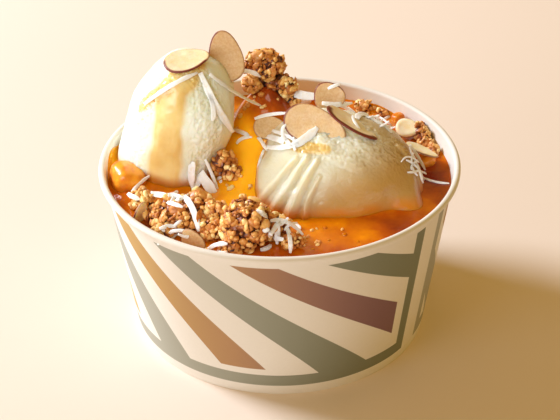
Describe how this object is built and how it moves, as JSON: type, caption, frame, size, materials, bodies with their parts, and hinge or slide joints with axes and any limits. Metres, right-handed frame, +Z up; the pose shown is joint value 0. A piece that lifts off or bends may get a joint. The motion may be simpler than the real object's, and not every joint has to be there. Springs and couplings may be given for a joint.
{
  "type": "frozen yogurt cup",
  "caption": "Short wide printed paper cup of frozen yogurt in fruit sauce, topped with granola clumps, almond slices and coconut shreds.",
  "frame": {"origin": "middle of the circle that the cup's foot ring stands on, on the standing surface", "axes": "+Z up along the cup's axis, -Y towards the side the cup is seen from, +X to the right"},
  "size_m": [0.118, 0.118, 0.098],
  "materials": {
    "printed_paper": "smooth coated paper with printed diagonal stripes",
    "fruit_sauce": "wet glossy fruit sauce, orange to red-brown",
    "frozen_yogurt": "soft, slightly grainy frozen yogurt, creamy white",
    "granola": "toasted oat clusters, matt with a thin honey glaze",
    "fruit": "soft wet fruit, glossy orange",
    "almond": "matt cream almond with a thin brown skin edge",
    "coconut": "matt white coconut shreds, slightly translucent"
  },
  "bodies": {
    "root": {"paper_cup": "printed_paper", "fruit_sauce": "fruit_sauce", "scoop_left": "frozen_yogurt", "scoop_right": "frozen_yogurt", "fruit_piece_left": "fruit", "fruit_piece_right": "fruit", "granola_peak": "granola", "granola_back": "granola", "granola_middle": "granola", "granola_front": "granola", "granola_left": "granola", "almond_slice_01": "almond", "almond_slice_02": "almond", "almond_slice_03": "almond", "almond_slice_04": "almond", "almond_slice_05": "almond", "almond_slice_06": "almond", "almond_slice_07": "almond", "almond_slice_08": "almond", "almond_slice_09": "almond", "almond_slice_10": "almond"}
  },
  "joints": []
}
